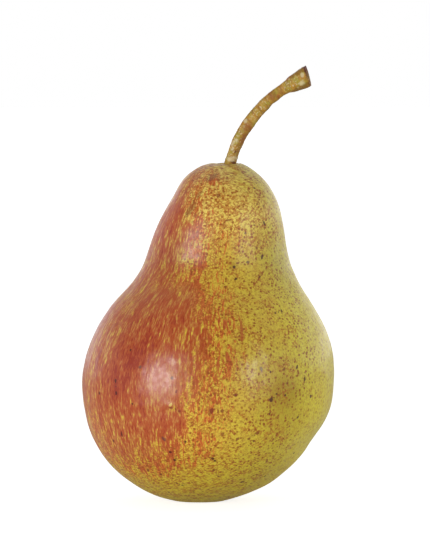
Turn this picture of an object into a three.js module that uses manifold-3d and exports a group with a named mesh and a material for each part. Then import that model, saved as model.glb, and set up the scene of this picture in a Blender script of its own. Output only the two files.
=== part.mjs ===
// A ripe pear standing on a small flat spot: the fruit, its woody stalk, and the dried calyx underneath.
// Millimetres, +Z up. The origin is the middle of the fruit's belly, on the surface that the fruit stands on.
// The stalk bends towards +X, and the front is -Y.

import * as THREE from "three";
import { mergeVertices } from "three/addons/utils/BufferGeometryUtils.js";
import Module from "manifold-3d";

// ---------------------------------------------------------------- driving dimensions

const BELLY_RADIUS = 36.2; // the widest ring, seen from the front
const FRUIT_HEIGHT = 97; // flat spot to the top of the crown
const DEPTH_SHARE = 0.965; // front to back, the fruit is a little narrower than it is wide
const FRUIT_SEGMENTS = 64;
const SKIN_STEPS = 56;

const FLAT_OUTER = 7.8; // the fruit rests on a flat ring round the basin
const FLAT_INNER = 5.4;
const BASE_LEAN = -2.4; // how far the flat ring's centre sits from the belly's axis, along X

const BASIN_DEPTH = 4.8; // the hollow round the calyx
const BASIN_STEPS = 8;
const FURROW_DEPTH = 0.22; // five furrows run into the basin, one for each sepal

const SOCKET_RADIUS = 2.1; // the hole that the stalk grows from
const SOCKET_DEPTH = 4.4;
const SOCKET_MOUTH = FRUIT_HEIGHT - 1.2;
const SOCKET_LEAN = 6.1; // where its mouth sits along X
const SOCKET_SLOPE = 0.33; // it leans with the stalk: X for each millimetre of height

const CROWN_FOLDS = 7; // puckered skin round the stalk
const CROWN_FOLD_HEIGHT = 0.16;
const CROWN_FOLD_RADIUS = 3.6;
const CROWN_FOLD_REACH = 0.9;

const STALK_RADIUS = 1.68;
const STALK_FLARE = 2.8; // radius of the rim at the cut end
const STALK_CUT_TILT = THREE.MathUtils.degToRad(13); // the cut isn't square to the stalk
const STALK_PIT_DEPTH = 0.7; // the cut face is hollowed
const STALK_SEGMENTS = 20;
const STALK_STEPS = 44;
const STALK_END = 8; // how sharply what belongs to the cut end fades along the stalk, as a power

const SEPALS = 5;
const SEPAL_LENGTH = 4.2;
const SEPAL_WIDTH = 2.1;
const SEPAL_ROOT = 0.22; // its width follows a half wave, which starts this far in, so the root is broad
const SEPAL_TIP = 0.12; // the blunt tip's share of the width
const SEPAL_THICKNESS = 0.7;
const SEPAL_START = 0.5; // how far from the calyx's middle a sepal springs
const SEPAL_RISE = 3.55; // its root's height over the flat spot
const SEPAL_DROOP = 2.75; // how far below its root the tip hangs
const SEPAL_BEND = 1.35; // it droops more and more towards the tip, as a power
const SEPAL_SHORTENING = 0.14; // the droop takes this share off its reach
const SEPAL_TROUGH = 1.4; // its edges hang below its middle
const SEPAL_UNEVEN = 0.06; // sepals differ by this share of their length
const SEPAL_STRAY = 0.1; // and stand off their even places by this share of a step
const SEPAL_STEPS = [10, 4]; // along and across

// The half outline from the flat ring up to the crown: share of the belly radius, share of the fruit's
// height, and how far the ring's centre leans from the belly's axis along X, in millimetres.
const OUTLINE = [
  [0.343, 0.014, -2.7],
  [0.542, 0.05, -1.95],
  [0.718, 0.103, -1.6],
  [0.883, 0.182, -0.8],
  [0.97, 0.265, -0.15],
  [1.0, 0.352, 0.1],
  [0.975, 0.44, 0.65],
  [0.895, 0.52, 1.05],
  [0.779, 0.59, 1.4],
  [0.657, 0.648, 2.3],
  [0.582, 0.702, 2.7],
  [0.536, 0.765, 3.05],
  [0.493, 0.83, 3.9],
  [0.428, 0.892, 4.7],
  [0.328, 0.95, 4.65],
  [0.218, 0.982, 4.6],
];

// The crown dips round the stalk: ring radius, drop below the crown's top, and lean.
const DIMPLE = [
  [4.9, 0.1, 4.9],
  [3.5, 0.15, 5.5],
  [2.6, 0.55, 5.95],
];

// The basin under the fruit, from its middle out to the flat ring: share of its radius and of its depth.
const BASIN = [
  [0, 1],
  [0.3, 0.96],
  [0.62, 0.72],
  [0.88, 0.2],
  [1, 0],
];

// The socket's wall and floor: share of its radius and of its depth.
const SOCKET = [
  [1, 0],
  [0.96, 0.5],
  [0.9, 1],
  [0, 1],
];

// The flesh swells in soft lobes round the axis: how many, the height where they are strongest,
// how far up and down they reach, and their share of the radius.
const LOBES = [
  { count: 3, height: 40, reach: 26, share: 0.009 },
  { count: 5, height: 0, reach: 16, share: 0.012 },
];

// Shallow hollows and swellings of the flesh: bearing round the axis (0 is +X, -90 the front), height,
// how far each reaches, and how deep it is (below 0 for a swelling).
const HOLLOWS = [
  { bearing: -8, height: 18, reachRound: 13, reachUp: 3.6, depth: 0.7 },
  { bearing: -12, height: 26, reachRound: 13, reachUp: 5, depth: -0.2 },
  { bearing: -50, height: 29, reachRound: 7, reachUp: 11, depth: 0.55 },
  { bearing: -100, height: 15, reachRound: 16, reachUp: 7, depth: -0.4 },
  { bearing: 75, height: 22, reachRound: 14, reachUp: 9, depth: 0.8 },
  { bearing: 140, height: 52, reachRound: 12, reachUp: 9, depth: 0.6 },
  { bearing: 60, height: 84, reachRound: 9, reachUp: 7, depth: 0.5 },
];

// The stalk's centre line, from the bottom of its socket to the cut end.
const STALK_LINE = [
  [4.75, 0, 92.0],
  [6.5, 0, 97.1],
  [8.75, -0.1, 103.2],
  [13.05, -0.6, 110.0],
  [19.9, -1.4, 117.0],
  [28.75, -2.7, 122.15],
];

// The stalk's thickness: share of its length, and share of its radius.
const STALK_TAPER = [
  [0.0, 0.86],
  [0.15, 0.98],
  [0.2, 0.96],
  [0.42, 1.03],
  [0.62, 1.0],
  [0.76, 0.95],
  [0.83, 1.12],
  [0.89, 1.47],
  [0.94, 1.64],
  [1.0, STALK_FLARE / STALK_RADIUS],
];

// Ridges run along the stalk: how many round it, their twist in radians, and their share of the radius.
const STALK_RIDGES = [
  { count: 3, twist: 5, share: 0.03 },
  { count: 5, twist: -9, share: 0.02 },
];
const STALK_RINGS = { turns: 34, share: 0.02 }; // swellings along its length, in radians in all
const STALK_RIM = [
  { count: 2, phase: 0.6, share: 0.05 },
  { count: 5, phase: 0, share: 0.03 },
];
const STALK_FACE = [0.8, 0.45, 0]; // rings of the cut face, as shares of its radius

// The calyx's eye, the dried cup that the sepals spring from: radius and height.
const EYE = [
  [0, 3.15],
  [0.75, 3.0],
  [1.0, 2.35],
  [1.45, 2.5],
  [1.6, 3.3],
  [1.1, 4.0],
  [0, 4.15],
];
const EYE_SEGMENTS = 20;

const MERGE_DISTANCE = 1e-4; // vertices closer than this are one
const HALVINGS = 30; // how finely a smooth line is searched for a place

// ---------------------------------------------------------------- shared helpers

const wasm = await Module();
wasm.setup();

// A closed mesh as a solid, with only its positions and shared vertices merged.
function solidFrom(geometry) {
  const bare = new THREE.BufferGeometry().setAttribute("position", geometry.getAttribute("position"));
  bare.setIndex(geometry.index);
  const merged = mergeVertices(bare, MERGE_DISTANCE);
  return new wasm.Manifold(
    new wasm.Mesh({
      numProp: 3,
      vertProperties: merged.getAttribute("position").array,
      triVerts: new Uint32Array(merged.index.array),
    }),
  );
}

function geometryFrom(solid) {
  const { vertProperties, triVerts } = solid.getMesh();
  const geometry = new THREE.BufferGeometry();
  geometry.setAttribute("position", new THREE.BufferAttribute(new Float32Array(vertProperties), 3));
  geometry.setIndex(new THREE.BufferAttribute(new Uint32Array(triVerts), 1));
  geometry.computeVertexNormals();
  return geometry;
}

// Moves every vertex of a geometry by a function of its place and its index.
function reshape(geometry, move) {
  const place = geometry.getAttribute("position");
  const point = new THREE.Vector3();
  for (let i = 0; i < place.count; i++) {
    move(point.fromBufferAttribute(place, i), i);
    place.setXYZ(i, point.x, point.y, point.z);
  }
  geometry.computeVertexNormals();
  return geometry;
}

// A smooth line through points, as evenly stepped points.
function smoothLine(points, steps) {
  return new THREE.CatmullRomCurve3(points, false, "centripetal").getPoints(steps);
}

// 1 at no distance, and falling away smoothly past the reach.
function bell(distance, reach) {
  return Math.exp(-((distance / reach) ** 2) / 2);
}

// The sum of waves round an axis, each with its own count and phase.
function waves(list, angle, phaseOf) {
  return list.reduce((sum, wave) => sum + wave.share * Math.sin(wave.count * angle + phaseOf(wave)), 0);
}

// ---------------------------------------------------------------- the fruit

// The fruit's outline from the middle of the basin, up over the belly and crown, to the socket's floor.
// Each point is (ring radius, height, lean).
function fruitOutline() {
  const basin = BASIN.map(
    ([share, rise]) => new THREE.Vector3(FLAT_INNER * share, BASIN_DEPTH * rise, BASE_LEAN),
  );
  const flatEdge = new THREE.Vector3(FLAT_OUTER, 0, BASE_LEAN);
  const body = OUTLINE.map(
    ([share, rise, lean]) => new THREE.Vector3(BELLY_RADIUS * share, FRUIT_HEIGHT * rise, lean),
  );
  const dimple = DIMPLE.map(([radius, drop, lean]) => new THREE.Vector3(radius, FRUIT_HEIGHT - drop, lean));
  const socket = SOCKET.map(([share, sink]) => {
    const depth = SOCKET_DEPTH * sink;
    return new THREE.Vector3(SOCKET_RADIUS * share, SOCKET_MOUTH - depth, SOCKET_LEAN - SOCKET_SLOPE * depth);
  });
  return [
    ...smoothLine(basin, BASIN_STEPS),
    ...smoothLine([flatEdge, ...body, ...dimple], SKIN_STEPS),
    ...socket,
  ];
}

// A ring's size in a direction, as a share of its radius.
function ringShare(angle, height) {
  const flattened = (1 - DEPTH_SHARE) * Math.sin(angle) ** 2;
  const lobes = LOBES.map(({ count, height: strongest, reach, share }) => ({
    count,
    share: share * bell(height - strongest, reach),
  }));
  return 1 - flattened + waves(lobes, angle, () => 0);
}

// How far the hollows sink the skin at a place.
function hollowsAt(angle, radius, height) {
  let depth = 0;
  for (const { bearing, height: middle, reachRound, reachUp, depth: deepest } of HOLLOWS) {
    const turn = angle - THREE.MathUtils.degToRad(bearing);
    const round = radius * Math.atan2(Math.sin(turn), Math.cos(turn));
    depth += deepest * bell(round, reachRound) * bell(height - middle, reachUp);
  }
  return depth;
}

// The puckered folds of the crown and the furrows of the basin, as a change of height.
function creases(angle, radius, height) {
  if (height > FRUIT_HEIGHT / 2) {
    const near = bell(radius - CROWN_FOLD_RADIUS, CROWN_FOLD_REACH);
    return CROWN_FOLD_HEIGHT * Math.cos(CROWN_FOLDS * angle) * near;
  }
  const inBasin = height < BASIN_DEPTH && radius < FLAT_INNER;
  return inBasin ? FURROW_DEPTH * Math.cos(SEPALS * angle) * Math.sin((Math.PI * radius) / FLAT_INNER) : 0;
}

function makeFruit() {
  const outline = fruitOutline();
  const profile = outline.map((point) => new THREE.Vector2(point.x, point.y));
  const geometry = new THREE.LatheGeometry(profile, FRUIT_SEGMENTS);
  geometry.rotateX(Math.PI / 2);
  return reshape(geometry, (point, i) => {
    const { x: radius, y: height, z: lean } = outline[i % outline.length];
    const angle = Math.atan2(point.y, point.x);
    const sunk = radius > FLAT_OUTER ? hollowsAt(angle, radius, height) : 0;
    const grown = radius * ringShare(angle, height) - sunk;
    point.x = grown * Math.cos(angle) + lean;
    point.y = grown * Math.sin(angle);
    point.z = height + creases(angle, radius, height);
  });
}

// ---------------------------------------------------------------- the stalk

// Frames along the stalk's line: each gives the place, the way along, and two directions across.
function stalkFrames() {
  const points = STALK_LINE.map((p) => new THREE.Vector3(...p));
  const line = new THREE.CatmullRomCurve3(points, false, "centripetal");
  line.arcLengthDivisions = 10 * STALK_STEPS;
  const { tangents } = line.computeFrenetFrames(STALK_STEPS, false);
  const depth = new THREE.Vector3(0, 1, 0);
  return tangents.map((along, i) => {
    const up = new THREE.Vector3().crossVectors(along, depth).normalize();
    const side = new THREE.Vector3().crossVectors(up, along).normalize();
    return { place: line.getPointAt(i / STALK_STEPS), along, up, side };
  });
}

// The stalk's radius at a share of its length, read off the taper's smooth line.
function stalkRadiusAt(share) {
  const taper = new THREE.SplineCurve(STALK_TAPER.map((p) => new THREE.Vector2(...p)));
  let low = 0;
  let high = 1;
  for (let i = 0; i < HALVINGS; i++) {
    const middle = (low + high) / 2;
    if (taper.getPoint(middle).x < share) low = middle;
    else high = middle;
  }
  return STALK_RADIUS * taper.getPoint(low).y;
}

// How the stalk's surface swells at a place, as a share of its radius.
function stalkSwell(angle, share) {
  const ridges = waves(STALK_RIDGES, angle, (ridge) => ridge.twist * share);
  const rings = STALK_RINGS.share * Math.sin(STALK_RINGS.turns * share);
  const rim = waves(STALK_RIM, angle, (wave) => wave.phase) * share ** STALK_END;
  return 1 + ridges + rings + rim;
}

// The stalk is turned as a straight rod of (radius, station), then bent onto its line.
function makeStalk() {
  const frames = stalkFrames();
  const wall = frames.map((_, i) => new THREE.Vector2(stalkRadiusAt(i / STALK_STEPS), i));
  const face = STALK_FACE.map((share) => new THREE.Vector2(STALK_FLARE * share, STALK_STEPS));
  const profile = [new THREE.Vector2(0, 0), ...wall, ...face];
  const geometry = new THREE.LatheGeometry(profile, STALK_SEGMENTS);
  return reshape(geometry, (point, i) => {
    const row = i % profile.length;
    const { x: radius, y: station } = profile[row];
    const { place, along, up, side } = frames[station];
    const share = station / STALK_STEPS;
    const angle = Math.atan2(point.z, point.x);
    const across = radius * stalkSwell(angle, share);
    const lift = across * Math.cos(angle);
    const cut = Math.tan(STALK_CUT_TILT) * lift * share ** STALK_END;
    const pit = row > wall.length ? STALK_PIT_DEPTH * (1 - (radius / STALK_FLARE) ** 2) : 0;
    point.copy(place);
    point.addScaledVector(up, lift);
    point.addScaledVector(side, across * Math.sin(angle));
    point.addScaledVector(along, cut - pit);
  });
}

// ---------------------------------------------------------------- the calyx

// One dried sepal: a pointed blade that springs from the eye, hangs into the basin and curls at its edges.
function makeSepal(index) {
  const blade = new THREE.BoxGeometry(SEPAL_LENGTH, 1, SEPAL_THICKNESS, ...SEPAL_STEPS, 1);
  const uneven = Math.sin(4 * index);
  reshape(blade, (point) => {
    const share = THREE.MathUtils.clamp(point.x / SEPAL_LENGTH + 0.5, 0, 1);
    const halfWave = Math.sin(Math.PI * (SEPAL_ROOT + (1 - SEPAL_ROOT) * share));
    const across = point.y * SEPAL_WIDTH * Math.max(SEPAL_TIP, halfWave);
    const reach = SEPAL_LENGTH * share * (1 - SEPAL_SHORTENING * share) * (1 + SEPAL_UNEVEN * uneven);
    const trough = SEPAL_TROUGH * (across / SEPAL_WIDTH) ** 2;
    const rise = SEPAL_RISE - SEPAL_DROOP * share ** SEPAL_BEND - trough;
    point.set(SEPAL_START + reach, across, rise + point.z);
  });
  return blade.rotateZ((2 * Math.PI * (index + SEPAL_STRAY * uneven)) / SEPALS);
}

function makeCalyx() {
  const eye = new THREE.LatheGeometry(EYE.map((p) => new THREE.Vector2(...p)), EYE_SEGMENTS);
  eye.rotateX(Math.PI / 2);
  let calyx = solidFrom(eye);
  for (let i = 0; i < SEPALS; i++) calyx = calyx.add(solidFrom(makeSepal(i)));
  return geometryFrom(calyx).translate(BASE_LEAN, 0, 0);
}

// ---------------------------------------------------------------- the pear

const skin = new THREE.MeshStandardMaterial({ color: 0xbca33c, roughness: 0.42, metalness: 0 });
const bark = new THREE.MeshStandardMaterial({ color: 0xa5842f, roughness: 0.75, metalness: 0 });
const husk = new THREE.MeshStandardMaterial({ color: 0x4a3520, roughness: 0.9, metalness: 0 });

function piece(name, geometry, material) {
  const mesh = new THREE.Mesh(geometry, material);
  mesh.name = name;
  return mesh;
}

const pear = new THREE.Group();
pear.add(piece("fruit", makeFruit(), skin));
pear.add(piece("stalk", makeStalk(), bark));
pear.add(piece("calyx", makeCalyx(), husk));

export default pear;
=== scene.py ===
"""A ripe pear, blushed red on its left side, with its woody stalk and the dried calyx underneath.

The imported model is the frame: metres, +Z up, the front at -Y, and the origin on the floor under the belly.
Tables are in millimetres and degrees, and MM turns a length into metres. A bearing is measured round the
fruit's axis: 0 is the right side, -90 the front, 180 the left side and 90 the back.
"""

import bisect
import functools
import logging
import math
from collections.abc import Mapping, Sequence
from dataclasses import dataclass
from enum import Enum

import bmesh
import bpy
import numpy as np
from mathutils import Matrix, Vector, noise
from mathutils.kdtree import KDTree

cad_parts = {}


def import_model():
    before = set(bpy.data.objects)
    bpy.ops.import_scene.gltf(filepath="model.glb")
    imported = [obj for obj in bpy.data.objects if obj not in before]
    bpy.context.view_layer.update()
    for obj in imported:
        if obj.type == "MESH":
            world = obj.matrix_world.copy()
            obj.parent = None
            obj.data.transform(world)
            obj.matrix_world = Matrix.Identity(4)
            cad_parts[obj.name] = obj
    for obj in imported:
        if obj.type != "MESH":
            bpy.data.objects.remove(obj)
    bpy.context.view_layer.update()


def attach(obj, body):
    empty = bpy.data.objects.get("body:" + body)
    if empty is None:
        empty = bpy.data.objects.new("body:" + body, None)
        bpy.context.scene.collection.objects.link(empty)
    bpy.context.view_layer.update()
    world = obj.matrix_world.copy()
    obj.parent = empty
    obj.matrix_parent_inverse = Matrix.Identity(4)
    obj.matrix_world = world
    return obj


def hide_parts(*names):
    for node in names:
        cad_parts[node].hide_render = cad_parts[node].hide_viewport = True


MM = 0.001
POLE = 1e-6  # metres: ring points closer to the axis than this are one pole
LINE_STEPS = 40  # samples in each span of a smooth line

Paint = tuple[float, float, float, float]
Socket = bpy.types.NodeSocket
Row = Sequence[float]

log = logging.getLogger("pear")


class Slot(Enum):
    """The record's material slots."""

    SKIN = "pear_skin"
    BARK = "stalk_bark"
    HUSK = "dried_calyx"


class Layer(Enum):
    """What a mesh remembers of each of its points, for its shape or for its finish."""

    LEAN = "lean"
    RUN = "run"
    OUT = "out"
    RISE = "rise"
    MERIDIAN = "meridian"
    GIRDLE = "girdle"
    BLUSH = "blush"
    TONE = "tone"
    CALM = "calm"
    # Painted light and shade, kept as a scale of the paint.
    LEVEL = "level"
    ROD = "rod"
    SHARE = "share"


OUTLINE_LAYERS = (Layer.LEAN, Layer.RUN, Layer.OUT, Layer.RISE)
PAINT_LAYERS = (Layer.BLUSH, Layer.TONE, Layer.CALM, Layer.LEVEL)


# ---------------------------------------------------------------- shared helpers


def bell(distance: float, reach: float) -> float:
    """Gives 1 at no distance, falling away smoothly past the reach."""
    return math.exp(-((distance / reach) ** 2) / 2)


def ease(value: float, low: float, high: float) -> float:
    """Rises smoothly from 0 at low to 1 at high."""
    share = min(1.0, max(0.0, (value - low) / (high - low)))
    return share * share * (3 - 2 * share)


def read_off(table: Sequence[Row], key: float, column: int) -> float:
    """Reads a table between its rows, which are in order of their first column."""
    index = bisect.bisect_left(table, key, key=lambda row: row[0])
    if index in (0, len(table)):
        return table[min(index, len(table) - 1)][column]
    low, high = table[index - 1], table[index]
    return low[column] + (high[column] - low[column]) * (key - low[0]) / (high[0] - low[0])


def turn_between(bearing: float, other: float) -> float:
    """Gives the signed turn from one bearing to another, in radians, the short way round."""
    turn = bearing - other
    return math.atan2(math.sin(turn), math.cos(turn))


def between(start: float, end: float, at: np.ndarray, first: np.ndarray, last: np.ndarray) -> np.ndarray:
    """Gives the points on the way from the first to the last, timed from start to end."""
    return (end - at) / (end - start) * first + (at - start) / (end - start) * last


def rolled(angle: float, radius: float, run: float) -> tuple[float, float, float]:
    """Gives a point on a roll about Z, as far up it as the run."""
    return (radius * math.cos(angle), radius * math.sin(angle), run)


def smooth_line(points: Sequence[Row]) -> np.ndarray:
    """Runs a smooth line through points, with the spans timed by the root of their length.

    Args:
        points: The points that the line passes, each with any number of measures.

    Returns:
        The samples, one row each, from the first point to the last.
    """
    knots = np.array(points, float)
    knots = np.vstack([2 * knots[0] - knots[1], knots, 2 * knots[-1] - knots[-2]])
    spans = []
    for start in range(len(points) - 1):
        p = knots[start : start + 4]
        t = np.append(0.0, np.cumsum(np.linalg.norm(np.diff(p, axis=0), axis=1) ** 0.5))
        s = np.linspace(t[1], t[2], LINE_STEPS, endpoint=False)[:, None]
        a = [between(t[i], t[i + 1], s, p[i], p[i + 1]) for i in range(3)]
        b = [between(t[i], t[i + 2], s, a[i], a[i + 1]) for i in range(2)]
        spans.append(between(t[1], t[2], s, b[0], b[1]))
    return np.vstack([*spans, knots[-2]])


def run_of(line: np.ndarray) -> np.ndarray:
    """Gives how far along a line each of its rows lies, by its first two measures."""
    return np.append(0.0, np.cumsum(np.linalg.norm(np.diff(line[:, :2], axis=0), axis=1)))


def evened(line: np.ndarray, count: int) -> np.ndarray:
    """Respaces a line's rows evenly along it."""
    run = run_of(line)
    even = np.linspace(0, run[-1], count)
    return np.column_stack([np.interp(even, run, column) for column in line.T])


def averaged(line: np.ndarray, weights: np.ndarray) -> np.ndarray:
    """Averages each row of a line with its neighbours, and carries the line on so that its ends stay."""
    half = len(weights) // 2
    before = 2 * line[0] - line[half:0:-1]
    after = 2 * line[-1] - line[-2 : -half - 2 : -1]
    padded = np.vstack([before, line, after])
    shares = weights / weights.sum()
    return np.column_stack([np.convolve(column, shares, mode="valid") for column in padded.T])


def softened(line: np.ndarray, reach: float) -> np.ndarray:
    """Rubs the small kinks out of an evenly spaced line, and keeps its ends.

    Args:
        line: The rows, evenly spaced.
        reach: How far along the line a point is drawn towards its neighbours.

    Returns:
        The softened rows.
    """
    step = run_of(line)[-1] / (len(line) - 1)
    half = max(1, round(3 * reach / step))
    soft = averaged(line, np.array([bell(i * step, reach) for i in range(-half, half + 1)]))
    soft[0], soft[-1] = line[0], line[-1]
    return soft


def turned(profile: Sequence[Row], steps: int, kept: Sequence[Layer]) -> bmesh.types.BMesh:
    """Spins a half outline about Z into a closed skin that faces outwards.

    Args:
        profile: One row for each ring: its radius, its height, then a value for each kept layer.
        steps: How many faces go round.
        kept: The layers that remember the rest of each row.

    Returns:
        The spun mesh.
    """
    mesh = bmesh.new()
    layers = [mesh.verts.layers.float.new(layer.value) for layer in kept]
    line = [mesh.verts.new((row[0], 0, row[1])) for row in profile]
    for vert, row in zip(line, profile):
        for layer, value in zip(layers, row[2:]):
            vert[layer] = value
    edges = [mesh.edges.new(pair) for pair in zip(line, line[1:])]
    bmesh.ops.spin(
        mesh,
        geom=[*line, *edges],
        cent=(0, 0, 0),
        axis=(0, 0, 1),
        dvec=(0, 0, 0),
        angle=2 * math.pi,
        space=Matrix.Identity(4),
        steps=steps,
        use_merge=True,
        use_normal_flip=False,
        use_duplicate=False,
    )
    poles = [vert for vert in mesh.verts if math.hypot(vert.co.x, vert.co.y) < POLE]
    bmesh.ops.remove_doubles(mesh, verts=poles, dist=POLE)
    bmesh.ops.recalc_face_normals(mesh, faces=mesh.faces)
    return mesh


def finished(mesh: bmesh.types.BMesh, name: str) -> bpy.types.Object:
    """Makes a smooth-shaded object at the origin from a mesh, and frees the mesh."""
    data = bpy.data.meshes.new(name)
    mesh.to_mesh(data)
    mesh.free()
    data.shade_smooth()
    piece = bpy.data.objects.new(name, data)
    bpy.context.scene.collection.objects.link(piece)
    return piece


def mounted(piece: bpy.types.Object, node: str, material: bpy.types.Material) -> bpy.types.Object:
    """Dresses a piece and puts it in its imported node's stead, on the one body."""
    piece.data.materials.append(material)
    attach(piece, "root")
    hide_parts(node)
    log.info("%s: %d faces", piece.name, len(piece.data.polygons))
    return piece


def reflected(level: int) -> float:
    """Turns a level from 0 to 255, as it looks, into the share of light that it reflects."""
    share = level / 255
    return share / 12.92 if share <= 0.04045 else ((share + 0.055) / 1.055) ** 2.4


def paint(red: int, green: int, blue: int) -> Paint:
    """Turns a colour from 0 to 255, as it looks, into the light that it reflects."""
    return (reflected(red), reflected(green), reflected(blue), 1.0)


# ---------------------------------------------------------------- materials


class Board:
    """One material's nodes, with a method for each kind that the finishes use. Lengths are in millimetres."""

    def __init__(self, name: str) -> None:
        """Starts a material with one shader."""
        self.material = bpy.data.materials.new(name)
        self.material.use_nodes = True
        self.nodes = self.material.node_tree.nodes
        self.links = self.material.node_tree.links
        self.shader = self.nodes["Principled BSDF"]

    def shade(self, name: str, value: object) -> None:
        """Feeds one of the shader's inputs."""
        self.feed(self.shader.inputs[name], value)

    def feed(self, socket: Socket, value: object) -> None:
        """Links a socket to another, or sets its value."""
        if isinstance(value, Socket):
            self.links.new(value, socket)
        else:
            socket.default_value = value

    def add(
        self, kind: str, inputs: Mapping[str | int, object], output: str | int = 0, **settings: object
    ) -> Socket:
        """Adds a node.

        Args:
            kind: The node's type.
            inputs: What its sockets take, by name or index.
            output: The socket to hand back.
            **settings: The node's own properties.

        Returns:
            The chosen output.
        """
        node = self.nodes.new(kind)
        for name, value in settings.items():
            setattr(node, name, value)
        for key, value in inputs.items():
            self.feed(node.inputs[key], value)
        return node.outputs[output]

    def place(self) -> Socket:
        """Gives the point on the piece, in millimetres."""
        point = self.add("ShaderNodeTexCoord", {}, "Object")
        return self.add("ShaderNodeVectorMath", {0: point, "Scale": 1 / MM}, operation="SCALE")

    def remembered(self, layer: Layer, output: str = "Fac") -> Socket:
        """Gives what the mesh remembers in a layer."""
        return self.add("ShaderNodeAttribute", {}, output, attribute_name=layer.value)

    def stretched(self, point: Socket, stretch: Row, shift: Row = (0, 0, 0)) -> Socket:
        """Multiplies a point's measures and shifts it."""
        inputs = {0: point, 1: tuple(stretch), 2: tuple(shift)}
        return self.add("ShaderNodeVectorMath", inputs, operation="MULTIPLY_ADD")

    def warped(self, point: Socket, size: float, amount: float) -> Socket:
        """Pushes points about by a soft noise of that size, up to about half that amount."""
        push = self.add("ShaderNodeTexNoise", {"Vector": point, "Scale": 1 / size, "Detail": 1.0}, "Color")
        half = self.add("ShaderNodeVectorMath", {0: push, 1: (0.5, 0.5, 0.5)}, operation="SUBTRACT")
        inputs = {0: half, 1: (amount,) * 3, 2: point}
        return self.add("ShaderNodeVectorMath", inputs, operation="MULTIPLY_ADD")

    def clouds(self, point: Socket, size: float, detail: float = 2.0) -> Socket:
        """Gives a noise from 0 to 1 whose blots are about that size."""
        inputs = {"Vector": point, "Scale": 1 / size, "Detail": detail}
        return self.add("ShaderNodeTexNoise", inputs)

    def cells(self, point: Socket, size: float) -> Socket:
        """Gives the distance to the nearest of some scattered points, in cell sizes."""
        inputs = {"Vector": point, "Scale": 1 / size, "Randomness": 1.0}
        return self.add("ShaderNodeTexVoronoi", inputs, "Distance")

    def sum(self, first: Socket | float, second: Socket | float) -> Socket:
        """Adds two values."""
        return self.add("ShaderNodeMath", {0: first, 1: second}, operation="ADD")

    def times(self, first: Socket | float, second: Socket | float) -> Socket:
        """Multiplies two values."""
        return self.add("ShaderNodeMath", {0: first, 1: second}, operation="MULTIPLY")

    def most(self, first: Socket | float, second: Socket | float) -> Socket:
        """Gives the larger of two values."""
        return self.add("ShaderNodeMath", {0: first, 1: second}, operation="MAXIMUM")

    def swing(self, value: Socket, amount: float) -> Socket:
        """Turns a noise round a half into one round zero, times an amount."""
        return self.add("ShaderNodeMath", {0: value, 1: amount, 2: -amount / 2}, operation="MULTIPLY_ADD")

    def eased(self, value: Socket, low: float, high: float, bottom: float = 0.0, top: float = 1.0) -> Socket:
        """Rises smoothly from bottom to top while the value goes from low to high."""
        inputs = {"Value": value, "From Min": low, "From Max": high, "To Min": bottom, "To Max": top}
        return self.add("ShaderNodeMapRange", inputs, interpolation_type="SMOOTHSTEP")

    def mix(self, share: Socket | float, under: object, over: object) -> Socket:
        """Lays a share of one colour over another."""
        inputs = {"Factor": share, 6: under, 7: over}
        return self.add("ShaderNodeMix", inputs, 2, data_type="RGBA")

    def fade(self, share: Socket | float, first: Socket | float, second: Socket | float) -> Socket:
        """Goes from one value to another."""
        return self.add("ShaderNodeMix", {"Factor": share, 2: first, 3: second}, 0, data_type="FLOAT")

    def over(
        self, base: object, colour: object, value: Socket, low: float, high: float, *ends: float
    ) -> Socket:
        """Lays a colour over another, more of it as the value goes from low to high."""
        return self.mix(self.eased(value, low, high, *ends), base, colour)

    def part(self, vector: Socket, axis: str) -> Socket:
        """Gives one measure of a point: X, Y or Z."""
        return self.add("ShaderNodeSeparateXYZ", {"Vector": vector}, axis)

    def spots(self, point: Socket, frames: Sequence[Matrix], edge: float = 0.3) -> Socket:
        """Gives 1 inside any of some spots and 0 outside.

        Args:
            point: The point on the piece, in the spots' own space.
            frames: Where each spot's unit ball lies, how it is turned and how large it is.
            edge: How soft its edge is, as a share of its size.

        Returns:
            The spots' cover.
        """
        cover: Socket | float = 0.0
        for frame in frames:
            centre, turn, size = frame.decompose()
            inputs = {"Vector": point, "Location": centre, "Rotation": turn.to_euler(), "Scale": size}
            ball = self.add("ShaderNodeMapping", inputs, vector_type="TEXTURE")
            far = self.add("ShaderNodeVectorMath", {0: ball}, "Value", operation="LENGTH")
            cover = self.most(cover, self.eased(far, 1 + edge, 1 - edge))
        return cover

    def dent(self, height: Socket, depth: float, under: Socket | None = None) -> Socket:
        """Raises the surface by a height from 0 to 1 times a depth in millimetres, over another relief."""
        inputs = {"Height": height, "Distance": depth * MM, "Strength": 1.0}
        if under is not None:
            inputs["Normal"] = under
        return self.add("ShaderNodeBump", inputs)


class Sky(Board):
    """The surroundings' nodes, made with the same methods."""

    def __init__(self, name: str) -> None:
        """Starts a world with one background."""
        self.world = bpy.data.worlds.new(name)
        self.world.use_nodes = True
        self.nodes = self.world.node_tree.nodes
        self.links = self.world.node_tree.links
        self.shader = self.nodes["Background"]


@dataclass(frozen=True)
class Mark:
    """A spot on the skin.

    Attributes:
        bearing: Where it is round the fruit.
        height: Its height over the floor.
        across: Its breadth.
        along: Its length.
        slant: How far its length leans from the meridian, clockwise seen from outside.
    """

    bearing: float
    height: float
    across: float
    along: float
    slant: float = 0.0


class Tint(Enum):
    """The kinds of mark on the skin."""

    DARK = "dark purple-brown specks"
    # Also the painted shadow under the wart.
    RUST = "red-brown spots"
    GREY = "grey bruised spots"
    STROKE = "orange-red strokes"
    RUSSET = "olive-brown patches"
    # Also the painted highlight on the wart's top.
    CREAM = "cream scratches"


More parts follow.
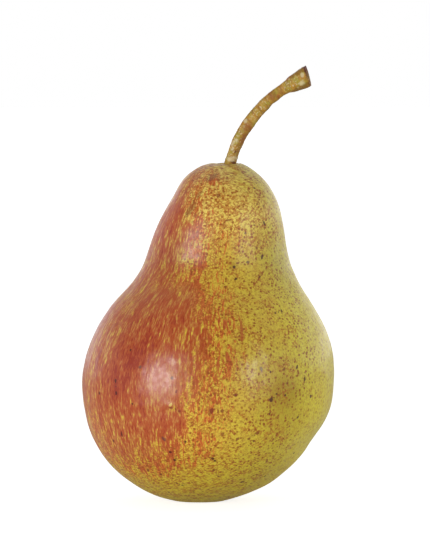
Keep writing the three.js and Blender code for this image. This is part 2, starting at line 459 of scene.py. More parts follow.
@dataclass(frozen=True)
class SkinFinish:
    """The pear's waxy skin: a yellow ground under a mottled red blush, with stipple and sparse marks."""

    golden: Paint = paint(215, 185, 60)
    green: Paint = paint(215, 201, 58)
    lime: Paint = paint(212, 192, 48)
    pale: Paint = paint(230, 206, 102)
    ochre: Paint = paint(185, 138, 38)
    olive: Paint = paint(166, 138, 16)
    orange: Paint = paint(206, 108, 42)
    tan: Paint = paint(189, 122, 58)
    red: Paint = paint(173, 76, 32)
    deep_red: Paint = paint(150, 44, 20)
    dot: Paint = paint(146, 68, 14)
    curl: Paint = paint(172, 86, 20)
    dark: Paint = paint(72, 18, 8)
    rust: Paint = paint(118, 36, 14)
    grey: Paint = paint(90, 58, 52)
    cream: Paint = paint(214, 186, 96)
    russet: Paint = paint(108, 76, 34)
    roughness: float = 0.33
    refraction: float = 1.5
    # The strokes of the blush, its fine grain and its broad bands: breadth, length, detail and sway.
    strokes: tuple[Row, ...] = ((0.6, 2.9, 3, 1.45), (0.33, 1.3, 2, 1.3), (3.0, 9.0, 2, 0.9))
    # Sizes in millimetres.
    patch_size: float = 4.5
    cloud_size: float = 9.0
    grain_size: float = 0.7
    curl_size: float = 1.25
    bunch_size: float = 3.5
    dot_size: float = 1.05
    fine_dot_size: float = 0.66
    # What changes with the height: from which height to which, and how strong it is at each.
    pale_heights: Row = (70, 86, 0.0, 0.85)
    cloud_heights: Row = (3, 26, -0.6, 0.0)
    lime_heights: Row = (26, 2, 0.0, 0.8)
    crown_curls: Row = (68, 86, 0.0, 0.12)
    base_curls: Row = (24, 8, 0.0, 0.14)
    dull_from: Row = (48, 62, 0.0, 0.07)
    dull_until: Row = (78, 88, 1.0, 0.2)
    dull_base: Row = (24, 10, 0.0, 0.12)
    # The same for what changes with the blush, and with the redness that comes of it.
    golden_blush: Row = (-0.2, 0.25)
    pale_blush: Row = (-0.3, 0.15, 0.3, 1.0)
    tan_blush: Row = (0.35, 0.8)
    streaked_blush: Row = (0.0, 0.35)
    dotted_blush: Row = (0.95, 0.45, 0.12, 1.0)
    dotted_back: Row = (-0.5, -0.2, 0.48, 1.0)
    thin_redness: Row = (0.15, 0.38)
    full_redness: Row = (0.36, 0.64)
    deep_redness: Row = (0.7, 0.98)

    def streaks(self, board: Board, breadth: float, length: float, detail: float = 2.0) -> Socket:
        """Gives a noise drawn out along the meridians, as broad on the slim neck as on the belly."""
        run = board.remembered(Layer.MERIDIAN, "Vector")
        belly = board.stretched(run, (1 / breadth, 1 / breadth, 1 / length))
        neck_breadth = breadth / NECK_SHARE
        neck = board.stretched(run, (1 / neck_breadth, 1 / neck_breadth, 1 / length), (9, 9, 9))
        high = board.eased(board.part(board.place(), "Z"), *NECK_HEIGHTS)
        return board.fade(high, board.clouds(belly, 1.0, detail), board.clouds(neck, 1.0, detail))

    def ground(self, board: Board) -> Socket:
        """Paints the ground: golden by the blush, green far from it, with ochre clouds and a fine grain."""
        place = board.place()
        patches = board.swing(board.clouds(place, self.patch_size, 3), 0.5)
        blush = board.sum(board.remembered(Layer.BLUSH), patches)
        base = board.over(self.green, self.golden, blush, *self.golden_blush)
        height = board.part(place, "Z")
        # The ground is made paler up the neck.
        bloom = board.times(board.eased(height, *self.pale_heights), board.eased(blush, *self.pale_blush))
        base = board.mix(bloom, base, self.pale)
        low = board.eased(height, *self.cloud_heights)
        cloud = board.sum(low, board.swing(board.clouds(place, self.cloud_size, 3), 2.0))
        base = board.over(base, self.ochre, cloud, 0.0, 1.0, 0.0, 0.65)
        # Olive where the skin remembers its tone: partly its own olive, partly painted shade over the dent on
        # the right belly.
        base = board.over(base, self.olive, board.remembered(Layer.TONE), 0.0, 1.0, 0.0, 0.75)
        grain = board.clouds(board.remembered(Layer.GIRDLE, "Vector"), self.grain_size, 3)
        base = board.over(base, self.ochre, grain, 0.45, 0.68, 0.0, 0.5)
        return board.over(base, self.lime, height, *self.lime_heights)

    def redness(self, board: Board) -> Socket:
        """Gives how red the skin is: 0 is bare, and 1 is the deepest red."""
        blush = board.remembered(Layer.BLUSH)
        mottle: Socket | float = 0.0
        for breadth, length, detail, sway in self.strokes:
            mottle = board.sum(mottle, board.swing(self.streaks(board, breadth, length, detail), sway))
        calm = board.eased(board.remembered(Layer.CALM), 0.0, 1.0, 1.0, 0.2)
        spread = board.times(board.eased(blush, *self.streaked_blush), calm)
        return board.sum(board.times(blush, 0.65), board.times(mottle, spread))

    def blushed(self, board: Board, ground: Socket) -> Socket:
        """Lays the red over the ground: orange at its edge, and from tan to deep red within it."""
        redness = self.redness(board)
        thin = board.over(self.orange, self.tan, board.remembered(Layer.BLUSH), *self.tan_blush)
        skin = board.over(ground, thin, redness, *self.thin_redness)
        skin = board.over(skin, self.red, redness, *self.full_redness)
        return board.over(skin, self.deep_red, redness, *self.deep_redness)

    def stipple(self, board: Board, skin: Socket) -> Socket:
        """Scatters small brown dots and curls, drawn out round the crown and the base."""
        girdle = board.remembered(Layer.GIRDLE, "Vector")
        blush = board.remembered(Layer.BLUSH)
        far_side = board.eased(blush, *self.dotted_back)
        bare = board.times(board.eased(blush, *self.dotted_blush), far_side)
        lines = board.clouds(girdle, self.curl_size, 2)
        off = board.add("ShaderNodeMath", {0: board.sum(lines, -0.5)}, operation="ABSOLUTE")
        height = board.part(board.place(), "Z")
        ends = board.most(board.eased(height, *self.crown_curls), board.eased(height, *self.base_curls))
        bunches = board.sum(board.clouds(girdle, self.bunch_size, 2), board.times(blush, 0.3))
        bunches = board.sum(bunches, ends)
        bunches = board.eased(bunches, 0.42, 0.66, 0.05, 0.72)
        curls = board.times(board.times(board.eased(off, 0.07, 0.035), bunches), bare)
        skin = board.mix(curls, skin, self.curl)
        warped = board.warped(girdle, 0.8, 0.5)
        near = board.cells(warped, self.dot_size)
        strength = board.part(near.node.outputs["Color"], "X")
        dots = board.times(board.eased(near, 0.45, 0.27), board.eased(strength, 0.0, 0.8, 0.2, 0.88))
        fine = board.times(board.eased(board.cells(warped, self.fine_dot_size), 0.46, 0.2), 0.4)
        return board.mix(board.times(board.most(dots, fine), bare), skin, self.dot)

    def marked(self, board: Board, skin: Socket) -> Socket:
        """Adds the sparse single marks, each as far as its own remembered ball reaches."""
        inputs = {"Vector": board.place(), "Scale": 2.2, "Detail": 2.0}
        ragged = board.add("ShaderNodeTexNoise", inputs, "Color")
        ragged = board.stretched(ragged, (1.1, 1.1, 0), (-0.55, -0.55, 0))
        # The cream marks include a painted highlight on the wart's top, and the rust marks a painted shadow
        # under it.
        colours = {
            Tint.STROKE: (self.red, 0.75),
            Tint.RUST: (self.rust, 0.75),
            Tint.RUSSET: (self.russet, 0.42),
            Tint.GREY: (self.grey, 0.7),
            Tint.DARK: (self.dark, 0.9),
            Tint.CREAM: (self.cream, 0.9),
        }
        for tint, (colour, strength) in colours.items():
            ball = board.add("ShaderNodeAttribute", {}, "Vector", attribute_name=tint.name.lower())
            ball = board.add("ShaderNodeVectorMath", {0: ball, 1: ragged}, operation="ADD")
            far = board.add("ShaderNodeVectorMath", {0: ball}, "Value", operation="LENGTH")
            skin = board.over(skin, colour, far, 1.35, 0.8, 0.0, strength)
        return skin

    def relief(self, board: Board) -> Socket:
        """Gives the skin its soft unevenness, which the light shows in the glossy places."""
        place = board.place()
        dents = board.dent(board.clouds(place, 5.5, 1.0), 0.26)
        creases = board.dent(self.streaks(board, 2.2, 6.0, 1.0), 0.1, dents)
        pores = board.dent(board.clouds(place, 0.8, 2), 0.018, creases)
        return board.dent(self.streaks(board, 0.8, 3.2), 0.06, pores)

    def make(self) -> bpy.types.Material:
        """Builds the skin's material."""
        board = Board(Slot.SKIN.value)
        skin = self.blushed(board, self.ground(board))
        skin = self.marked(board, self.stipple(board, skin))
        height = board.part(board.place(), "Z")
        # Painted light and shade: the paint is scaled lighter or darker by height and in patches.
        inputs = {0: skin, "Scale": board.remembered(Layer.LEVEL)}
        skin = board.add("ShaderNodeVectorMath", inputs, operation="SCALE")
        board.shade("Base Color", skin)
        rough = board.clouds(board.place(), 1.5, 2)
        rough = board.eased(rough, 0.3, 0.7, self.roughness - 0.05, self.roughness + 0.07)
        dull = board.times(board.eased(height, *self.dull_from), board.eased(height, *self.dull_until))
        rough = board.sum(rough, board.sum(dull, board.eased(height, *self.dull_base)))
        board.shade("Roughness", rough)
        board.shade("IOR", self.refraction)
        board.shade("Normal", self.relief(board))
        return board.material


@dataclass(frozen=True)
class BarkFinish:
    """The stalk's dry bark: ringed olive tan, red-brown at its sides and foot, with cream scars."""

    tan: Paint = paint(180, 132, 38)
    olive: Paint = paint(160, 140, 34)
    pale: Paint = paint(186, 160, 76)
    brown: Paint = paint(136, 88, 24)
    red_brown: Paint = paint(146, 76, 22)
    cream: Paint = paint(210, 194, 150)
    dark: Paint = paint(92, 26, 18)
    roughness: float = 0.62
    # What changes with a pattern or a place: from which value to which, and how strong it is at each.
    olive_blots: Row = (0.38, 0.62)
    brown_rings: Row = (0.5, 0.66, 0.0, 0.6)
    pale_rings: Row = (0.44, 0.34, 0.0, 0.6)
    foot_end: Row = (0.5, 0.38)
    foot_side: Row = (1.1, -0.4)
    red_foot: Row = (0.45, 1.1, 0.0, 0.42)
    brown_sides: Row = (1.3, 1.8, 0.0, 0.7)
    cut_end: Row = (0.984, 0.994)
    cut_side: Row = (-1.5, 1.8, 0.35, 0.9)

    def make(self, marks: Mapping[str, Sequence[Matrix]]) -> bpy.types.Material:
        """Builds the bark's material.

        Args:
            marks: Where each kind of mark lies on the straight rod, in millimetres.

        Returns:
            The material.
        """
        board = Board(Slot.BARK.value)
        rod = board.remembered(Layer.ROD, "Vector")
        share = board.remembered(Layer.SHARE)
        rings = board.clouds(board.stretched(rod, WRINKLES), 1.0, 2)
        blots = board.clouds(rod, 2.4, 3)
        mottle = board.clouds(rod, 0.7, 3)
        bark = board.over(self.tan, self.olive, blots, *self.olive_blots)
        bark = board.over(bark, self.brown, rings, *self.brown_rings)
        # Pale bands among the rings: partly the bark's own pale and partly painted highlight.
        bark = board.over(bark, self.pale, rings, *self.pale_rings)
        side = board.eased(board.part(rod, "X"), *self.foot_side)
        foot = board.times(board.eased(share, *self.foot_end), side)
        foot = board.sum(foot, board.swing(mottle, 2.4))
        bark = board.over(bark, self.red_brown, foot, *self.red_foot)
        side = board.part(board.add("ShaderNodeVectorMath", {0: rod}, operation="ABSOLUTE"), "X")
        edge = board.sum(side, board.swing(mottle, 1.4))
        bark = board.over(bark, self.brown, edge, *self.brown_sides)
        warped = board.warped(rod, 0.8, 0.9)
        specks = board.eased(board.clouds(rod, 0.5, 2), 0.55, 0.63)
        flecks = board.times(board.spots(warped, marks["flecks"], 0.6), specks)
        bark = board.mix(board.times(board.spots(warped, marks["red"], 0.5), 0.65), bark, self.red_brown)
        bark = board.mix(board.times(flecks, 0.7), bark, self.cream)
        bark = board.mix(board.times(board.spots(warped, marks["cream"], 0.45), 0.72), bark, self.cream)
        cut = board.eased(board.sum(share, board.swing(mottle, 0.02)), *self.cut_end)
        cut = board.times(cut, board.eased(board.part(rod, "X"), *self.cut_side))
        bark = board.mix(cut, bark, self.dark)
        # Dark spots on the bark, one of them a painted shadow at the stalk's foot.
        bark = board.mix(board.times(board.spots(warped, marks["dark"]), 0.8), bark, self.dark)
        board.shade("Base Color", bark)
        board.shade("Roughness", self.roughness)
        relief = board.dent(rings, 0.11)
        board.shade("Normal", board.dent(mottle, 0.09, relief))
        return board.material


@dataclass(frozen=True)
class HuskFinish:
    """The calyx's dried husk: dark brown, fibrous, paler along the ribs."""

    husk: Paint = paint(74, 52, 34)
    rib: Paint = paint(132, 104, 66)
    roughness: float = 0.85

    def make(self) -> bpy.types.Material:
        """Builds the husk's material."""
        board = Board(Slot.HUSK.value)
        place = board.place()
        fibres = board.clouds(board.stretched(place, (1.6, 1.6, 0.5)), 1.0, 3)
        husk = board.over(self.husk, self.rib, fibres, 0.4, 0.7)
        board.shade("Base Color", husk)
        board.shade("Roughness", self.roughness)
        board.shade("Normal", board.dent(fibres, 0.15))
        return board.material


# ---------------------------------------------------------------- the fruit

NECK_SHARE = 0.6  # the neck's girth as a share of the belly's
NECK_HEIGHTS = (52.0, 68.0)  # where belly streaks give way to neck streaks
MERIDIAN_RADIUS = 30.0  # the girth that the streaks are laid out on
GIRDLE = ((0, 0.8), (12, 0.95), (20, 1.0), (84, 1.0), (92, 0.9), (97, 0.65))  # height, the stipple's spread
SOFTENING = 1.2  # how far the outline's kinks are rubbed out
BASIN_STEPS = 24
SOCKET_STEPS = 12
FINE_STEPS = 6  # how much finer the outline is stepped while it is softened
UNEVEN = ((9.0, 0.14), (4.5, 0.07), (2.4, 0.03))  # the skin's unevenness: size and depth
UNEVEN_HEIGHTS = (0.5, 4.0)  # where it sets in over the flat spot
MARK_MARGIN = 1.3  # how far round a mark the skin remembers it
NOWHERE = (0.0, 0.0, 10.0)  # what skin remembers that is near no mark

# The half outline from the flat ring up to the crown: share of the belly radius, share of the fruit's
# height, and how far the ring's centre leans from the belly's axis along X.
OUTLINE = (
    (0.343, 0.014, -2.7),
    (0.542, 0.05, -1.95),
    (0.718, 0.103, -1.6),
    (0.883, 0.182, -0.8),
    (0.97, 0.265, -0.15),
    (1.0, 0.352, 0.1),
    (0.975, 0.44, 0.65),
    (0.895, 0.52, 1.05),
    (0.779, 0.59, 1.4),
    (0.657, 0.648, 2.3),
    (0.582, 0.702, 2.7),
    (0.536, 0.765, 3.05),
    (0.493, 0.83, 3.9),
    (0.428, 0.892, 4.7),
    (0.328, 0.95, 4.65),
    (0.218, 0.982, 4.6),
)
DIMPLE = ((4.9, 0.1, 4.9), (3.5, 0.15, 5.5), (2.6, 0.55, 5.95))  # round the stalk: radius, drop and lean
BASIN = ((0, 1), (0.3, 0.96), (0.62, 0.72), (0.88, 0.2), (1, 0))  # shares of its radius and depth
SOCKET = ((1, 0), (0.96, 0.5), (0.9, 1), (0, 1))  # shares of its radius and depth

# Where the red blush covers the skin: height, bearing of its front edge and its back edge, and strength.
BLUSH_MIDDLE = -155.0
BLUSH = (
    (0, -100, 150, 0.0),
    (3, -100, 155, 0.2),
    (6, -102, 158, 0.38),
    (9, -105, 162, 0.52),
    (12, -107, 160, 0.7),
    (16.5, -105, 154, 0.88),
    (22, -103, 146, 0.96),
    (28, -104, 140, 0.98),
    (33, -101, 138, 1.0),
    (39, -96, 141, 1.0),
    (50, -95, 150, 1.0),
    (56, -97, 157, 1.0),
    (61, -99, 160, 1.0),
    (67, -104, 158, 1.0),
    (72, -108, 154, 1.0),
    (78, -108, 152, 1.0),
    (84, -114, 154, 0.97),
    (88, -118, 158, 0.92),
    (91, -118, 162, 0.82),
    (94, -116, 165, 0.7),
    (97, -116, 170, 0.6),
)
# How it fades past its edge: degrees beyond the edge, and its cover on the belly and on the neck.
# Below 0 the ground turns greener.
BLUSH_FALL = (
    (-40, 1.05, 1.0),
    (-25, 0.96, 0.82),
    (-12, 0.82, 0.58),
    (0, 0.61, 0.41),
    (9, 0.42, 0.27),
    (18, 0.26, 0.19),
    (27, 0.14, 0.13),
    (37, 0.06, 0.09),
    (49, -0.05, 0.05),
    (64, -0.3, -0.02),
    (90, -0.5, -0.35),
)
BARE = -0.35  # what it fades to above and below

# Soft patches: bearing, height, reach round the fruit, reach up, amount.
BLUSH_PATCHES = (
    (-128, 42.5, 4.5, 3.5, 0.15),
    (-131, 42, 8, 6, 0.15),
    (-152, 54, 6, 9, -0.35),
    (-160, 24, 12, 12, -0.25),
    (-97, 50.5, 1.6, 1.8, 0.2),
    (-109, 60.3, 1.8, 2.8, 0.3),
    (-101, 92, 2.5, 2.5, 0.25),
    (-131, 74, 4, 5.5, 0.2),
    (-107, 26, 2.4, 2.6, 0.4),
    (-128, 68, 8, 5, -0.18),
    (-150, 37, 5, 4.5, 0.2),
    (-104, 47, 5, 4, 0.12),
    (-75, 41, 4, 4, -0.05),
    (-92, 14, 6, 4, 0.06),
    (-172, 23, 7, 8, -0.2),
    (-80, 74, 6, 8, 0.07),
)
# Painted light and shade: the skin's paint is made lighter towards the bottom and darker at the neck's waist
# and the crown, for how the light falls there: height, and share of its full lightness.
LIGHTNESS = (
    (0, 1.06),
    (8, 1.1),
    (24, 1.11),
    (33, 1.05),
    (42, 1.0),
    (56, 1.0),
    (63, 0.97),
    (69, 0.94),
    (76, 0.99),
    (82, 1.02),
    (89, 0.98),
    (97, 0.95),
)
# Painted light and shade in patches, lighter or darker where more or less light falls: bearing, height, reach
# round, reach up, amount.
LIGHTNESS_PATCHES = (
    (-42, 54, 6, 7, 0.08),
    (-55, 24, 7, 7, 0.07),
    (-28, 30, 6, 9, 0.07),
    (-71, 50, 7, 10, -0.07),
    (-137, 54, 7, 6, -0.07),
    (-130, 71, 7, 5, -0.12),
    (-25, 69, 6, 4.5, -0.14),
    (-18, 86, 4, 6, -0.12),
    (-68, 82, 7, 8, 0.08),
    (-168, 24, 7, 10, 0.12),
    (-97, 20, 7, 8, 0.06),
    (-36, 9, 6, 5, -0.1),
)
CALM_PATCHES = ((-110, 36.5, 5, 5.5, 0.75),)  # where the blush lies evenly
# Olive patches: the first three lie over the shallow dent on the right belly and are partly the skin's olive
# tone and partly painted shade of the dent; the last is a small olive mark. Bearing, height, reach round,
# reach up, amount.
TONE_PATCHES = (
    (-51, 33.5, 3.5, 2.5, 0.8),
    (-50, 25, 7, 8, 0.45),
    (-58, 36, 7, 9, 0.35),
    (-77, 68.7, 1.2, 1.0, 0.9),
)

# Single marks: bearing, height, breadth, length, slant.
SKIN_MARKS: dict[Tint, Sequence[Row]] = {
    Tint.STROKE: (
        (-83, 52.8, 0.9, 3.4, 4),
        (-74, 51, 0.8, 7.0, 2),
        (-97, 51.4, 1.4, 2.8, 0),
        (-88, 28.9, 1.2, 1.7, 0),
        (-82, 44, 0.8, 2.2, 0),
        (-86, 42, 1.0, 2.5, 0),
        (-78, 45.5, 0.5, 2.0, 0),
        (-85, 84, 0.5, 1.6, 0),
    ),
    Tint.RUSSET: (
        (-123, 84.6, 2.0, 4.8, 22),
        (-108, 93.4, 2.0, 3.6, 30),
        (-118, 88.6, 1.2, 2.6, 30),
    ),
    Tint.RUST: (
        # Painted shadow: the dark line under the wart.
        (-107, 29.7, 1.1, 0.5, 0),
        (-103, 28.8, 0.9, 0.7, 0),
        (-104.5, 34.4, 0.6, 1.0, 15),
        (-52, 40.1, 0.8, 0.9, 0),
        (-50, 36.1, 0.7, 0.7, 0),
        (-64, 22.2, 1.4, 0.9, 0),
        (-82, 22.2, 0.9, 0.9, 0),
        (-74, 20.7, 1.0, 0.8, 0),
        (-68, 20.6, 0.8, 0.8, 0),
        (-88, 28.9, 1.1, 1.6, 20),
        (-83, 28.9, 1.0, 0.9, 0),
        (-77, 33.4, 1.2, 0.8, 0),
        (-73, 69.5, 0.9, 0.6, 0),
        (-55, 73.6, 0.8, 0.7, 0),
        (-83, 63, 0.7, 0.7, 0),
        (-84, 81.6, 0.5, 1.8, 80),
        (-96, 88.5, 1.2, 1.0, 0),
        (-55, 85.9, 0.8, 0.5, 0),
        (-125, 10.9, 0.8, 1.2, 0),
        (-83, 11.4, 0.9, 0.8, 0),
    ),
    Tint.GREY: (
        (-124, 40.8, 0.9, 0.9, 0),
        (-107, 38.1, 0.8, 0.9, 0),
        (-65, 40.5, 0.8, 1.3, -25),
        (-111, 20.6, 0.8, 1.6, -45),
        (-64, 69.7, 1.1, 0.6, 0),
        (-67, 77.9, 0.7, 0.6, 0),
    ),
    Tint.DARK: (
        (-6, 96.1, 1.8, 1.0, 0),
        (-132, 45.3, 0.6, 0.7, 0),
        (-138, 36.4, 0.7, 1.2, 0),
        (-137, 33, 0.8, 1.0, 0),
        (-150, 32.4, 0.7, 0.8, 0),
        (-127, 30.3, 0.5, 0.6, 0),
        (-136, 21.2, 0.6, 1.5, 0),
        (-144, 18.9, 0.6, 0.9, 0),
        (-100, 19.9, 0.6, 0.8, 0),
        (-44, 40.4, 0.6, 1.2, 20),
        (-39, 36.8, 0.7, 1.2, 0),
        (-60, 39.5, 0.6, 0.6, 0),
        (-59, 31.6, 1.2, 1.2, 0),
        (-51, 32.7, 0.6, 0.6, 0),
        (-34, 31.7, 0.8, 0.9, 0),
        (-56, 33.2, 0.6, 0.6, 0),
        (-41, 26, 0.6, 0.9, 20),
        (-59, 27.6, 0.5, 0.6, 0),
        (-65, 19.9, 0.6, 0.5, 0),
        (-28, 14.9, 0.6, 0.6, 0),
        (-41, 8.5, 0.7, 0.7, 0),
        (-59, 7.2, 0.6, 1.3, 75),
        (-85, 15, 0.7, 1.0, -60),
        (-83.5, 14.3, 0.6, 0.9, -60),
        (-79, 9.4, 0.6, 0.4, 0),
        (-108, 16.8, 0.8, 0.7, 0),
        (-106, 14.4, 0.8, 0.9, 0),
        (-117, 9.8, 0.6, 0.6, 0),
        (-108, 7.1, 0.5, 0.5, 0),
        (-104, 6.5, 0.7, 0.5, 0),
        (-120, 3.9, 0.6, 0.6, 0),
        (-96, 4.5, 0.6, 0.4, 0),
        (-46, 56, 0.5, 1.1, 0),
        (-51, 55.6, 0.6, 0.6, 0),
        (-55, 65.5, 0.8, 0.4, 0),
        (-75, 65.1, 1.0, 0.6, -30),
        (-76, 68.4, 0.8, 0.8, 0),
        (-52, 90.3, 0.7, 0.5, 0),
        (-48, 80.5, 0.6, 1.3, -25),
        (-50, 71, 0.7, 1.4, 25),
        (-47, 85.3, 0.5, 0.4, 0),
        (-59, 80.1, 0.4, 0.4, 0),
        (-44, 75.1, 0.4, 0.4, 0),
    ),
    Tint.CREAM: (
        (147, 96.9, 1.2, 1.2, 0),
        # Painted highlight: the wart's pale lit top.
        (-107.3, 30.35, 1.0, 0.55, 0),
        (-106.8, 30.7, 0.6, 0.8, 0),
    ),
}

# The flesh swells in soft lobes round the axis: how many, the height where they are strongest,
# how far up and down they reach, and their share of the radius.
LOBES = ((3, 40.0, 26.0, 0.009), (5, 0.0, 16.0, 0.012))

# Shallow hollows, and swellings below 0: bearing, height, reach round, reach up, depth.
HOLLOWS = (
    (-8, 18, 13, 3.6, 0.7),
    (-12, 26, 13, 5, -0.2),
    (-50, 29, 7, 11, 0.55),
    (-100, 15, 16, 7, -0.4),
    (75, 22, 14, 9, 0.8),
    (140, 52, 12, 9, 0.6),
    (60, 84, 9, 7, 0.5),
    (-106, 88, 14, 9, -1.25),
    (-106, 66, 14, 6.5, 0.5),
    (-106, 76, 5.5, 10, 0.35),
    (-62, 87, 11, 8, -0.6),
    (-107, 30.2, 0.9, 0.8, -0.2),
    (180, 88.5, 9, 6.5, 0.95),
    (0, 88.5, 9, 6.5, 0.65),
    (-8, 17.2, 13, 2.1, 0.4),
    (-25, 3.4, 9, 1.6, -0.6),
    (180, 12, 12, 5, -0.3),
)
HOLLOW_RADII = (3.0, 12.0)  # where they set in round the stalk


@dataclass(frozen=True)
class Fruit:
    """The fruit: one grown body with its crown, its basin underneath and the socket of its stalk."""

    belly: float = 36.2
    height: float = 97.0
    depth_share: float = 0.965
    flat_outer: float = 7.8
    flat_inner: float = 5.4
    base_lean: float = -2.4
    basin_depth: float = 4.8
    furrow: float = 0.22
    furrows: int = 5
    socket: float = 2.1
    socket_depth: float = 4.4
    socket_drop: float = 1.2
    socket_lean: float = 6.1
    socket_slope: float = 0.33
    folds: int = 7
    fold_height: float = 0.16
    fold_radius: float = 3.6
    fold_reach: float = 0.9
    steps_round: int = 256
    steps_up: int = 300

    def outline(self) -> np.ndarray:
        """Gives the half outline from the basin's middle to the socket's floor: radius, height and lean."""
        basin = [(self.flat_inner * share, self.basin_depth * rise, self.base_lean) for share, rise in BASIN]
        edge = (self.flat_outer, 0, self.base_lean)
        body = [(self.belly * share, self.height * rise, lean) for share, rise, lean in OUTLINE]
        dimple = [(radius, self.height - drop, lean) for radius, drop, lean in DIMPLE]
        mouth = self.height - self.socket_drop
        slide = self.socket_slope * self.socket_depth
        socket = [
            (self.socket * share, mouth - self.socket_depth * sink, self.socket_lean - slide * sink)
            for share, sink in SOCKET
        ]
        skin = smooth_line([edge, *body, *dimple])
        skin = softened(evened(skin, FINE_STEPS * self.steps_up), SOFTENING)
        return np.vstack([
            evened(smooth_line(basin), BASIN_STEPS),
            evened(skin, self.steps_up),
            evened(np.array(socket), SOCKET_STEPS),
        ])

    def share_round(self, angle: float, height: float) -> float:
        """Gives a ring's size in a direction, as a share of its radius."""
        lobes = sum(
            share * bell(height - strongest, reach) * math.sin(count * angle)
            for count, strongest, reach, share in LOBES
        )
        return 1 - (1 - self.depth_share) * math.sin(angle) ** 2 + lobes

    def hollow_at(self, angle: float, radius: float, height: float) -> float:
        """Gives how far the hollows sink the skin at a place: not at all on the flat spot or by the stalk."""
        if radius <= self.flat_outer and height < self.basin_depth:
            return 0.0
        return self.patches_at(HOLLOWS, angle, radius, height) * ease(radius, *HOLLOW_RADII)

    def creases(self, angle: float, radius: float, height: float) -> float:
        """Gives the change of height of the crown's folds and the basin's furrows."""
        if height > self.height / 2:
            near = bell(radius - self.fold_radius, self.fold_reach)
            return self.fold_height * math.cos(self.folds * angle) * near
        if height < self.basin_depth and radius < self.flat_inner:
            return self.furrow * math.cos(self.furrows * angle) * math.sin(math.pi * radius / self.flat_inner)
        return 0.0

    def point(self, angle: float, radius: float, height: float, lean: float) -> Vector:
        """Gives a point of the skin, in millimetres."""
        grown = radius * self.share_round(angle, height) - self.hollow_at(angle, radius, height)
        z = height + self.creases(angle, radius, height)
        return Vector((grown * math.cos(angle) + lean, grown * math.sin(angle), z))

    def blush_at(self, angle: float, height: float) -> float:
        """Gives how strongly the red blush covers a place: 0 is bare, and 1 is solid red."""
        front, back, strength = self.blush_row(round(height, 2))
        inward = turn_between(angle, math.radians(BLUSH_MIDDLE))
        edge = math.radians(front if inward > 0 else back)
        beyond = math.degrees(abs(inward) - abs(turn_between(edge, math.radians(BLUSH_MIDDLE))))
        high = ease(height, *NECK_HEIGHTS)
        cover = (1 - high) * read_off(BLUSH_FALL, beyond, 1) + high * read_off(BLUSH_FALL, beyond, 2)
        return strength * cover + (1 - strength) * BARE

    @staticmethod
    @functools.cache
    def blush_row(height: float) -> tuple[float, ...]:
        """Gives the blush's two edges and its strength at a height."""
        return tuple(read_off(BLUSH, height, column) for column in (1, 2, 3))

    def patches_at(self, patches: Sequence[Row], angle: float, radius: float, height: float) -> float:
        """Sums soft patches, of paint or of relief: bearing, height, reach round, reach up, amount."""
        total = 0
        for bearing, middle, reach, up, amount in patches:
            round_it = radius * turn_between(angle, math.radians(bearing))
            total += amount * bell(round_it, reach) * bell(height - middle, up)
        return total

    @functools.cache
    def body_rows(self) -> list[Row]:
        """Gives the height, radius and lean of the body's rings, from the flat spot up to the crown's top."""
        outline = self.outline()[BASIN_STEPS:]
        top = int(np.argmax(outline[:, 1]))
        return [(height, radius, lean) for radius, height, lean in outline[: top + 1].tolist()]

    def spot(self, mark: Mark) -> Matrix:
        """Gives a mark's unit ball on the skin, in millimetres."""
        rows = self.body_rows()
        angle = math.radians(mark.bearing)
        centre, above = (
            self.point(angle, read_off(rows, height, 1), height, read_off(rows, height, 2))
            for height in (mark.height, mark.height + 1)
        )
        up = (above - centre).normalized()
        across = Vector((-math.sin(angle), math.cos(angle), 0))
        out = across.cross(up).normalized()
        slant = Matrix.Rotation(-math.radians(mark.slant), 4, "Z")
        turn = Matrix((across, up, out)).transposed().to_4x4() @ slant
        size = Matrix.Diagonal((mark.across / 2, mark.along / 2, max(mark.across, mark.along), 1))
        return Matrix.Translation(centre) @ turn @ size

    def build(self) -> bpy.types.Object:
        """Spins the outline, then shapes the skin as it has grown."""
        outline = self.outline()
        run = run_of(outline)
        slope = np.gradient(outline[:, :2], axis=0)
        slope /= np.maximum(np.linalg.norm(slope, axis=1, keepdims=True), 1e-9)
        rows = np.column_stack([outline, run, slope[:, 1], -slope[:, 0]])
        mesh = turned(rows, self.steps_round, OUTLINE_LAYERS)
        lean, run_layer, out, rise = (mesh.verts.layers.float[name.value] for name in OUTLINE_LAYERS)
        meridian = mesh.verts.layers.float_vector.new(Layer.MERIDIAN.value)
        girdle = mesh.verts.layers.float_vector.new(Layer.GIRDLE.value)
        blush, tone, calm, level = (mesh.verts.layers.float.new(name.value) for name in PAINT_LAYERS)
        for vert in mesh.verts:
            angle = math.atan2(vert.co.y, vert.co.x)
            radius, height = math.hypot(vert.co.x, vert.co.y), vert.co.z
            place = self.point(angle, radius, height, vert[lean])
            outward = Vector((vert[out] * math.cos(angle), vert[out] * math.sin(angle), vert[rise]))
            swell = sum(depth * noise.noise(place / size) for size, depth in UNEVEN)
            place += outward * swell * ease(height, *UNEVEN_HEIGHTS)
            vert[meridian] = rolled(angle, MERIDIAN_RADIUS, vert[run_layer])
            vert[girdle] = rolled(angle, radius * read_off(GIRDLE, height, 1), vert[run_layer])
            vert[blush] = self.blush_at(angle, height) + self.patches_at(BLUSH_PATCHES, angle, radius, height)
            vert[tone] = self.patches_at(TONE_PATCHES, angle, radius, height)
            vert[calm] = self.patches_at(CALM_PATCHES, angle, radius, height)
            # The painted light and shade, by height and in patches.
            vert[level] = read_off(LIGHTNESS, height, 1)
            vert[level] += self.patches_at(LIGHTNESS_PATCHES, angle, radius, height)
            vert.co = place * MM
        for name in OUTLINE_LAYERS:
            mesh.verts.layers.float.remove(mesh.verts.layers.float[name.value])
        for tint in Tint:
            self.remember_marks(mesh, tint)
        return finished(mesh, "pear_flesh")

